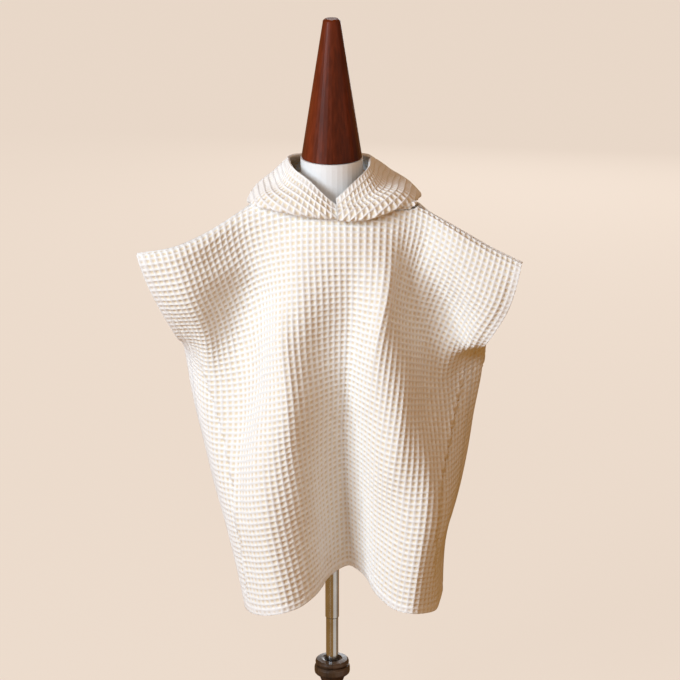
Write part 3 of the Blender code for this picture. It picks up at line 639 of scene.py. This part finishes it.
def waffleCotton():
    material, tree, shader = newMaterial("waffleCotton")
    uv = tree.nodes.new("ShaderNodeUVMap")
    uv.uv_map = "weave"
    split = tree.nodes.new("ShaderNodeSeparateXYZ")
    tree.links.new(uv.outputs[0], split.inputs[0])
    place = tree.nodes.new("ShaderNodeTexCoord").outputs["Object"]
    hem = tree.nodes.new("ShaderNodeAttribute")
    hem.attribute_name = "hem"

    # distance from the nearest ridge, both ways: 0 on a ridge, 1 in the pit
    depths = []
    for axis in (0, 1):
        part = mathNode(tree, "FRACT", split.outputs[axis])
        centred = mathNode(tree, "SUBTRACT", mathNode(tree, "MULTIPLY", part, 2.0), 1.0)
        away = mathNode(tree, "ABSOLUTE", centred)
        depths.append(mathNode(tree, "SUBTRACT", 1.0, away))
    pit = mathNode(tree, "SMOOTH_MIN", depths[0], depths[1])
    pit.node.inputs[2].default_value = 0.15
    # hems and gathered cells get shallower pits: less pit bump and less painted pit shade
    shallowerPits = mathNode(tree, "MULTIPLY", hem.outputs["Fac"], cotton["hemShallowerPits"])
    pit = mathNode(tree, "MULTIPLY", pit, mathNode(tree, "SUBTRACT", 1.0, shallowerPits))

    # uneven yarn: every cell and thread a little lighter or darker
    uneven = mathNode(tree, "SUBTRACT", noiseNode(tree, place, cotton["unevenSize"], 2.0), 0.5)
    shade = mathNode(tree, "ADD", pit, mathNode(tree, "MULTIPLY", uneven, cotton["uneven"]))
    # painted shade: the colour goes from the ridge colour over the slope to the warm pit colour, darker
    # where the pits lie deep
    colour = rampNode(tree, shade, (
        (cotton["ridgeTo"], cotton["ridge"]), (cotton["slopeShadeAt"], cotton["slope"]),
        (cotton["pitShadeFrom"], cotton["pit"]),
    ))
    tree.links.new(colour, shader.inputs["Base Color"])

    # threads: along the row on one set of ridges, down it on the other
    threads = []
    for axis in (0, 1):
        turn = mathNode(tree, "MULTIPLY", split.outputs[axis], math.tau * cotton["threadsPerCell"])
        threads.append(mathNode(tree, "MULTIPLY", mathNode(tree, "SINE", turn), depths[1 - axis]))
    ribs = mathNode(tree, "ADD", threads[0], threads[1])
    fluff = noiseNode(tree, place, cotton["fluffSize"], 2.0)
    fine = mathNode(tree, "ADD", mathNode(tree, "MULTIPLY", ribs, 0.5), fluff)
    wallOfPit = mathNode(tree, "POWER", mathNode(tree, "SUBTRACT", 1.0, pit), 1.7)
    deep = bumpNode(tree, wallOfPit, 0.5, cotton["pitDepth"])
    tree.links.new(bumpNode(tree, fine, 0.35, cotton["threadDepth"], deep), shader.inputs["Normal"])
    shader.inputs["Roughness"].default_value = cotton["roughness"]
    shader.inputs["Sheen Weight"].default_value = cotton["sheen"]
    shader.inputs["Sheen Roughness"].default_value = cotton["sheenRoughness"]
    shader.inputs["Specular IOR Level"].default_value = cotton["specular"]
    return material


thread = {"dark": (0.80, 0.73, 0.63), "light": (0.90, 0.86, 0.79), "twistSize": 900.0, "roughness": 0.7}


def sewingThread():
    material, tree, shader = newMaterial("sewingThread")
    place = tree.nodes.new("ShaderNodeTexCoord").outputs["Object"]
    twist = noiseNode(tree, place, thread["twistSize"])
    colour = rampNode(tree, twist, ((0.3, thread["dark"]), (0.7, thread["light"])))
    tree.links.new(colour, shader.inputs["Base Color"])
    tree.links.new(bumpNode(tree, twist, 0.4, 0.0002), shader.inputs["Normal"])
    shader.inputs["Roughness"].default_value = thread["roughness"]
    return material


redWood = {
    "dark": (0.034, 0.006, 0.003), "light": (0.19, 0.032, 0.009), "grain": 24.0,
    "roughness": 0.38, "specular": 0.12, "coat": 0.05, "coatRoughness": 0.14,
}
darkWood = {
    "dark": (0.018, 0.009, 0.005), "light": (0.115, 0.062, 0.032), "grain": 34.0,
    "roughness": 0.42, "specular": 0.35, "coat": 0.25, "coatRoughness": 0.22,
}


def turnedWood(name, wood):
    # grain runs up the turned piece, in long narrow streaks
    material, tree, shader = newMaterial(name)
    place = tree.nodes.new("ShaderNodeTexCoord").outputs["Object"]
    stretch = tree.nodes.new("ShaderNodeMapping")
    stretch.inputs["Scale"].default_value = (1.0, 1.0, 0.09)
    tree.links.new(place, stretch.inputs["Vector"])
    streak = noiseNode(tree, stretch.outputs[0], wood["grain"], 6.0, 0.62)
    pore = noiseNode(tree, stretch.outputs[0], wood["grain"] * 14, 2.0, 0.5)
    streaks, pores = mathNode(tree, "MULTIPLY", streak, 0.8), mathNode(tree, "MULTIPLY", pore, 0.2)
    mixed = mathNode(tree, "ADD", streaks, pores)
    middle = tuple((a + b) / 2.4 for a, b in zip(wood["dark"], wood["light"]))
    colour = rampNode(tree, mixed, ((0.34, wood["dark"]), (0.5, middle), (0.66, wood["light"])))
    tree.links.new(colour, shader.inputs["Base Color"])
    rough = mathNode(tree, "ADD", mathNode(tree, "MULTIPLY", pore, 0.16), wood["roughness"] - 0.08)
    tree.links.new(rough, shader.inputs["Roughness"])
    tree.links.new(bumpNode(tree, pore, 0.12, 0.0004), shader.inputs["Normal"])
    shader.inputs["Specular IOR Level"].default_value = wood["specular"]
    shader.inputs["Coat Weight"].default_value = wood["coat"]
    shader.inputs["Coat Roughness"].default_value = wood["coatRoughness"]
    return material


chrome = {"dark": (0.50, 0.54, 0.57), "light": (0.64, 0.69, 0.73), "roughness": 0.10, "haze": 0.14}


def polishedChrome():
    # bright plating with fine rubbed lines round the tube
    material, tree, shader = newMaterial("polishedChrome")
    place = tree.nodes.new("ShaderNodeTexCoord").outputs["Object"]
    stretch = tree.nodes.new("ShaderNodeMapping")
    stretch.inputs["Scale"].default_value = (1.0, 1.0, 30.0)
    tree.links.new(place, stretch.inputs["Vector"])
    rubbed = noiseNode(tree, stretch.outputs[0], 60.0, 4.0)
    haze = noiseNode(tree, place, 35.0, 3.0)
    colour = rampNode(tree, haze, ((0.3, chrome["dark"]), (0.7, chrome["light"])))
    tree.links.new(colour, shader.inputs["Base Color"])
    rough = mathNode(tree, "ADD", mathNode(tree, "MULTIPLY", haze, chrome["haze"]), chrome["roughness"])
    tree.links.new(rough, shader.inputs["Roughness"])
    tree.links.new(bumpNode(tree, rubbed, 0.05, 0.0002), shader.inputs["Normal"])
    shader.inputs["Metallic"].default_value = 1.0
    return material


cover = {
    "dark": (0.84, 0.85, 0.845), "light": (0.88, 0.89, 0.885), "knitSize": 900.0,
    "roughness": 0.62, "sheen": 0.1,
}


def formCover():
    # taut off-white jersey over the hard form
    material, tree, shader = newMaterial("formCover")
    place = tree.nodes.new("ShaderNodeTexCoord").outputs["Object"]
    knit = tree.nodes.new("ShaderNodeTexVoronoi")
    knit.inputs["Scale"].default_value = cover["knitSize"]
    tree.links.new(place, knit.inputs["Vector"])
    soft = noiseNode(tree, place, 18.0, 3.0)
    colour = rampNode(tree, soft, ((0.3, cover["dark"]), (0.7, cover["light"])))
    tree.links.new(colour, shader.inputs["Base Color"])
    tree.links.new(bumpNode(tree, knit.outputs["Distance"], 0.12, 0.0003), shader.inputs["Normal"])
    shader.inputs["Roughness"].default_value = cover["roughness"]
    shader.inputs["Sheen Weight"].default_value = cover["sheen"]
    return material


# one stitch, and how far along it each of its rings is, how high it stands and how thick it is
stitch = {
    "length": 3.1, "gap": 1.1, "radius": 0.42, "sides": 5,
    "along": (0, 0.16, 0.5, 0.84, 1), "lift": (-0.35, 0.05, 0.2, 0.05, -0.35),
    "thickness": (0.45, 0.9, 1, 0.9, 0.45),
}


def stitchRow(path, normals):
    # short rounded threads laid end to end along a path on the cloth
    step = np.linalg.norm(np.diff(path, axis=0), axis=1)
    along = np.concatenate([[0], np.cumsum(step)])
    pitch = stitch["length"] + stitch["gap"]
    sides, rings = stitch["sides"], len(stitch["along"])
    lift, size = stitch["lift"], stitch["radius"] * np.array(stitch["thickness"])
    points, faces = [], []
    for k in range(int(along[-1] / pitch)):
        places = k * pitch + stitch["gap"] / 2 + np.array(stitch["along"]) * stitch["length"]
        centre = np.column_stack([np.interp(places, along, axis) for axis in path.T])
        up = np.column_stack([np.interp(places, along, axis) for axis in normals.T])
        up /= np.linalg.norm(up, axis=1, keepdims=True)
        forward = centre[-1] - centre[0]
        forward /= np.linalg.norm(forward)
        sideways = np.cross(forward, up)
        base = len(points)
        for ring in range(rings):
            for turn in np.arange(sides) * math.tau / sides:
                around = math.cos(turn) * up[ring] + math.sin(turn) * sideways[ring]
                points.append(centre[ring] + lift[ring] * up[ring] + size[ring] * around)
        for ring in range(rings - 1):
            start = base + ring * sides
            for j in range(sides):
                a, b = start + j, start + (j + 1) % sides
                faces.append((a, b, b + sides, a + sides))
        last = base + (rings - 1) * sides
        faces.append(tuple(range(base, base + sides))[::-1])
        faces.append(tuple(range(last, last + sides)))
    return points, faces


def stitchPiece(name, rows, material):
    points, faces = [], []
    for path, normals in rows:
        more, moreFaces = stitchRow(path, normals)
        faces += [tuple(i + len(points) for i in face) for face in moreFaces]
        points += more
    mesh = bpy.data.meshes.new(name)
    mesh.from_pydata((np.array(points) * mm).tolist(), [], faces)
    mesh.materials.append(material)
    mesh.shade_smooth()
    piece = bpy.data.objects.new(name, mesh)
    bpy.context.scene.collection.objects.link(piece)
    return piece


def panelStitches(outer, fineAcross, fineDown, sign):
    # rows of stitching along the foot and up both cuffs, a hem's width in
    normal = normalsOf(outer) * sign
    inset = weave["hemWidth"] + 0.2
    row = int(np.argmin(np.abs(panel["length"] - fineDown[:, 0] - inset)))
    side = int(np.argmin(np.abs(fineAcross + panel["width"] / 2 - inset)))
    last = int(np.argmax(fineDown[:, 0] > panel["armOpening"]))
    rows = [(outer[row, side:-side], normal[row, side:-side])]
    for column in (side, len(fineAcross) - 1 - side):
        rows.append((outer[2:last, column], normal[2:last, column]))
    return rows


cottonMaterial = waffleCotton()
threadMaterial = sewingThread()
panels = makePanels()
print("panels hung and settled")

frontPiece, frontOuter, fineAcross, frontDown = buildPanel(
    "frontPanelCloth", *panels[0], panel["frontNeckDrop"], -1, frontCreases, frontFolds, cottonMaterial)
backPiece, backOuter, _, backDown = buildPanel(
    "backPanelCloth", *panels[1], panel["backNeckDrop"], 1, backCreases, backFolds, cottonMaterial)
print("weave laid on both panels")

hoodLeft, leftOuter, leftFromEdge = buildHoodHalf(
    "hoodLeftCloth", hoodLeftSections, -1, hood["leftFrom"], panels, cottonMaterial)
hoodRight, rightOuter, rightFromEdge = buildHoodHalf(
    "hoodRightCloth", hoodRightSections, 1, hood["rightFrom"], panels, cottonMaterial)
print("hood rolled")

frontStitches = stitchPiece(
    "frontHemStitches", panelStitches(frontOuter, fineAcross, frontDown, -1), threadMaterial)
backStitches = stitchPiece(
    "backHemStitches", panelStitches(backOuter, fineAcross, backDown, 1), threadMaterial)
hoodStitches = []
for name, outer, fromEdge, side in (("hoodLeftStitches", leftOuter, leftFromEdge, -1),
                                    ("hoodRightStitches", rightOuter, rightFromEdge, 1)):
    normal = normalsOf(outer) * side
    rows = np.argmin(np.abs(fromEdge - hood["hem"]), axis=0)
    columns = np.arange(3, outer.shape[1] - 2)
    line = (outer[rows[columns], columns], normal[rows[columns], columns])
    hoodStitches.append(stitchPiece(name, [line], threadMaterial))
print("hems stitched")

for piece, node, stitches in ((frontPiece, "front_panel", frontStitches),
                              (backPiece, "back_panel", backStitches),
                              (hoodLeft, "hood_left", hoodStitches[0]),
                              (hoodRight, "hood_right", hoodStitches[1])):
    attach(piece, "root")
    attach(stitches, "root")
    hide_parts(node)

finishes = {"dress_form": formCover(), "neck_cone": turnedWood("varnishedRedWood", redWood)}
darkTurned = turnedWood("darkTurnedWood", darkWood)
plated = polishedChrome()
for node in ("upper_tube", "lower_tube"):
    finishes[node] = plated
for node in ("hub_collar", "hub_ring", "base_column", "base_disc"):
    finishes[node] = darkTurned
for node, material in finishes.items():
    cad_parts[node].data.materials.clear()
    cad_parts[node].data.materials.append(material)
print("stand finished")

# floor, light and camera, in metres; lights are name, place, size, energy and colour, and
# cards are name, one end, the other end and glow
studio = {
    "floor": (0.818, 0.702, 0.602), "floorGlow": 0.95, "floorShade": 0.10, "floorLevel": -0.0005,
    "wallReach": 12.0, "wallFrom": -0.1, "wallTo": 11.0, "wallSides": 48,
    "world": (1.0, 0.50, 0.15), "worldStrength": 0.35,
    "lights": (("key", (-2.8, -2.6, 2.15), 1.7, 158.0, (0.73, 0.86, 0.985)),
               ("fill", (-0.3, -3.9, 2.9), 0.8, 34.0, (0.82, 0.92, 1.0)),
               ("back", (0.5, 3.3, 1.0), 1.4, 32.0, (0.88, 0.94, 1.0))),
    "lightAim": (0, 0, 0.65),
    "cards": (("cardRight", (1.5, -3.4), (3.2, -0.6), 0.95),
              ("cardFarRight", (3.4, 0.2), (3.2, 1.6), 0.35),
              ("cardLeft", (-2.0, -3.0), (-2.35, -2.6), 1.1)),
    "cardFrom": -3, "cardTo": 2,
    "lens": 158.2, "sensor": 36.0, "cameraPlace": (0.0114, -4.0, 1.9635), "cameraTilt": 71.46,
}


def areaLight(name, place, size, energy, colour):
    data = bpy.data.lights.new(name, "AREA")
    data.shape, data.size, data.energy, data.color = "SQUARE", size, energy, colour
    light = bpy.data.objects.new(name, data)
    light.location = place
    toward = np.array(studio["lightAim"]) - np.array(place)
    light.rotation_euler = (math.acos(-toward[2] / np.linalg.norm(toward)), 0,
                            math.atan2(toward[1], toward[0]) - math.pi / 2)
    bpy.context.scene.collection.objects.link(light)


def paleSurface(name, points, faces, shade):
    mesh = bpy.data.meshes.new(name)
    mesh.from_pydata(points, [], faces)
    surface = bpy.data.objects.new(name, mesh)
    bpy.context.scene.collection.objects.link(surface)
    material, tree, shader = newMaterial(name)
    shader.inputs["Base Color"].default_value = (*(c * shade for c in studio["floor"]), 1.0)
    shader.inputs["Roughness"].default_value = 1.0
    shader.inputs["Specular IOR Level"].default_value = 0.0
    shader.inputs["Emission Color"].default_value = (*studio["floor"], 1.0)
    shader.inputs["Emission Strength"].default_value = studio["floorGlow"]
    mesh.materials.append(material)
    return surface


def buildStudio():
    reach, sides = studio["wallReach"], studio["wallSides"]
    corners = [(-reach, -reach), (reach, -reach), (reach, reach), (-reach, reach)]
    ground = [(x, y, studio["floorLevel"]) for x, y in corners]
    floor = paleSurface("floor", ground, [(0, 1, 2, 3)], studio["floorShade"])
    turns = np.linspace(0, math.tau, sides, endpoint=False)
    ring = [(reach * math.cos(a), reach * math.sin(a)) for a in turns]
    walls = [(x, y, z) for z in (studio["wallFrom"], studio["wallTo"]) for x, y in ring]
    faces = [(i, (i + 1) % sides, sides + (i + 1) % sides, sides + i) for i in range(sides)]
    backdrop = paleSurface("backdrop", walls, faces, 0.0)
    for surface in (floor, backdrop):     # seen by the camera, but they light nothing
        surface.visible_diffuse = surface.visible_glossy = False
        surface.visible_shadow = False

    # white cards beside the camera, seen only in the shine of the tube and the varnish
    low, high = studio["cardFrom"], studio["cardTo"]
    for name, (x0, y0), (x1, y1), glow in studio["cards"]:
        corners = [(x0, y0, low), (x1, y1, low), (x1, y1, high), (x0, y0, high)]
        card = paleSurface(name, corners, [(0, 1, 2, 3)], 0.0)
        shader = card.data.materials[0].node_tree.nodes["Principled BSDF"]
        shader.inputs["Emission Strength"].default_value = glow
        card.visible_camera = card.visible_diffuse = card.visible_shadow = False

    world = bpy.data.worlds.new("warmRoom")
    world.use_nodes = True
    world.node_tree.nodes["Background"].inputs[0].default_value = (*studio["world"], 1.0)
    world.node_tree.nodes["Background"].inputs[1].default_value = studio["worldStrength"]
    bpy.context.scene.world = world

    for light in studio["lights"]:
        areaLight(*light)

    data = bpy.data.cameras.new("camera")
    data.lens, data.sensor_width = studio["lens"], studio["sensor"]
    camera = bpy.data.objects.new("camera", data)
    camera.location = studio["cameraPlace"]
    camera.rotation_euler = (math.radians(studio["cameraTilt"]), 0, 0)
    bpy.context.scene.collection.objects.link(camera)
    bpy.context.scene.camera = camera
    bpy.context.scene.view_settings.view_transform = "Standard"


buildStudio()
print("studio lit")
